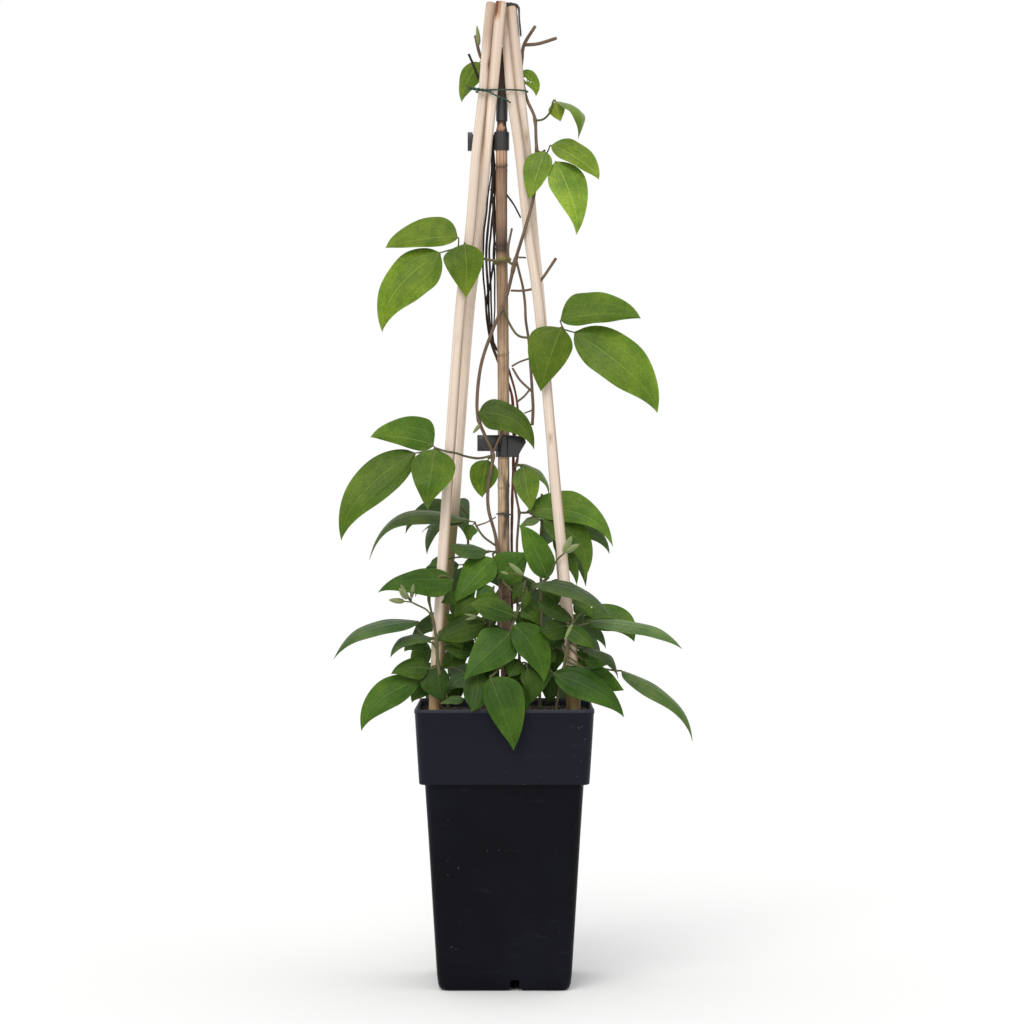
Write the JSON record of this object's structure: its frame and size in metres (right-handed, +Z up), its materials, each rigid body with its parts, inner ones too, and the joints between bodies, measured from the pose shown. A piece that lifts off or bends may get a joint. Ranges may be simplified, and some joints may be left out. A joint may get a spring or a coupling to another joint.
{
  "type": "potted clematis plant on a cane pyramid",
  "caption": "Evergreen climbing clematis with three-part leaves and closed buds, in a tall square black nursery pot, tied up to a pyramid of pale canes round a centre cane.",
  "frame": {"origin": "centre of the pot's base foot, on the surface that the pot stands on", "axes": "+Z up, front of the plant towards -Y, +X to the viewer's right"},
  "size_m": [0.2389, 0.1593, 0.6694],
  "materials": {
    "pot_plastic": "satin near-black moulded plastic with fine scuffs",
    "soil": "loose dark peat with bark bits",
    "cane": "pale dry split cane with long grain",
    "bamboo": "weathered brown cane with nodes and stains",
    "black_plastic": "plain black soft plastic",
    "wire_coating": "dark green coated wire",
    "leaf": "smooth satin green leaf with three main veins",
    "dead_stem": "dry dark brown stem"
  },
  "bodies": {
    "root": {"pot": "pot_plastic", "potting_soil": "soil", "cane_front_left": "cane", "cane_back_left": "cane", "cane_front_right": "cane", "cane_back_right": "cane", "centre_cane": "bamboo", "centre_cane_sleeve": "black_plastic", "upper_clip": "black_plastic", "lower_clip": "black_plastic", "centre_cane_tie": "black_plastic", "top_band": "black_plastic", "wire_tie": "wire_coating", "dead_stems": "dead_stem", "climbing_stem": "leaf", "right_stem": "leaf", "front_shoot": "leaf", "middle_shoot": "leaf", "left_shoot": "leaf", "right_shoot": "leaf", "back_left_shoot": "leaf", "back_right_shoot": "leaf"}
  },
  "joints": []
}
